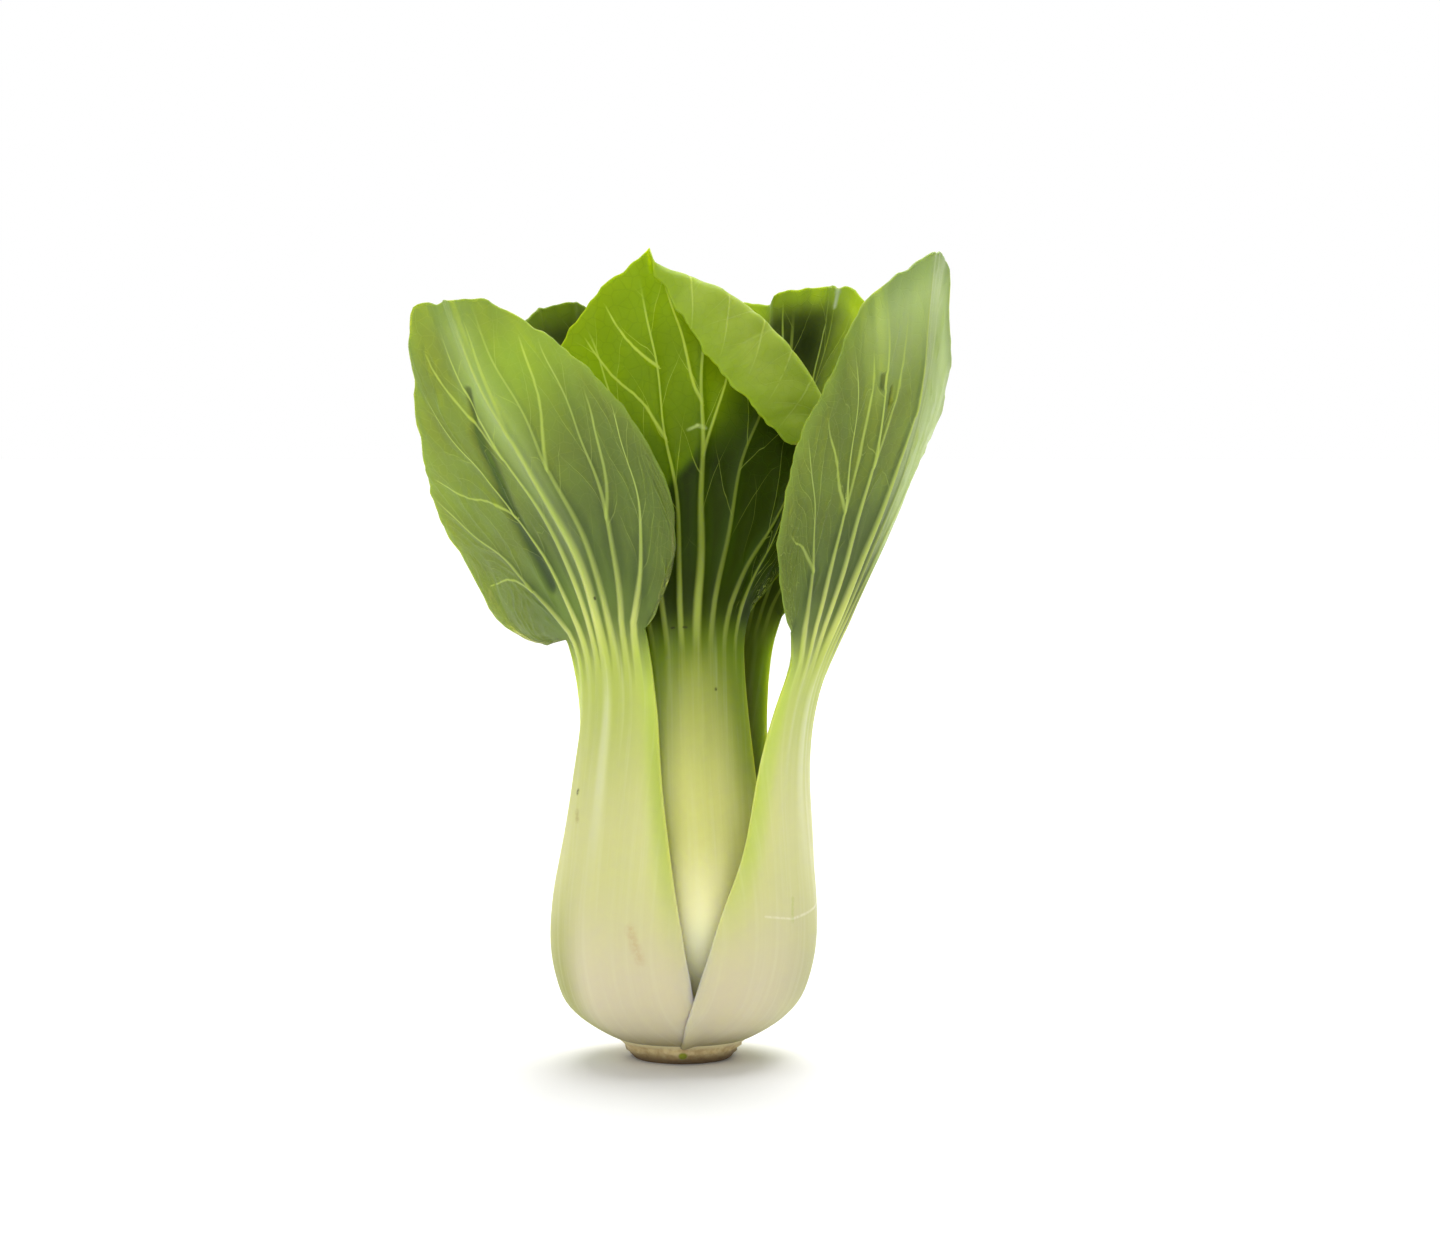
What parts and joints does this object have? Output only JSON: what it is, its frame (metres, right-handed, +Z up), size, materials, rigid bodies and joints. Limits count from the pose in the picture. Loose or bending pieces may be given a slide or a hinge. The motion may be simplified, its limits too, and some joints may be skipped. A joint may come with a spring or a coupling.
{
  "type": "head of bok choy",
  "caption": "Upright head of bok choy: pale fleshy stalks swelling into a round bulb, green ribbed blades opening above, standing on its cut base.",
  "frame": {"origin": "middle of the flat cut face that the head stands on", "axes": "+Z up along the head's axis, -Y is the front, +X is the viewer's right"},
  "size_m": [0.1251, 0.0942, 0.1886],
  "materials": {
    "cut_base": "cut stem, fibrous, dried light brown at the rim",
    "outer_leaf": "waxy leaf, near-white stalk base through pale green to a mid-green blade with pale veins",
    "middle_leaf": "waxy leaf, pale yellow-green stalk and a brighter green blade that lets light through",
    "inner_leaf": "young waxy leaf, pale green"
  },
  "bodies": {
    "root": {"cut_base": "cut_base", "leaf_front_left": "outer_leaf", "leaf_front_right": "outer_leaf", "leaf_back": "outer_leaf", "leaf_front_centre": "middle_leaf", "leaf_back_right": "middle_leaf", "leaf_back_left": "middle_leaf", "leaf_inner_right": "inner_leaf", "leaf_inner_back": "inner_leaf", "leaf_inner_left": "inner_leaf", "leaf_heart_front": "inner_leaf", "leaf_heart_back": "inner_leaf"}
  },
  "joints": []
}
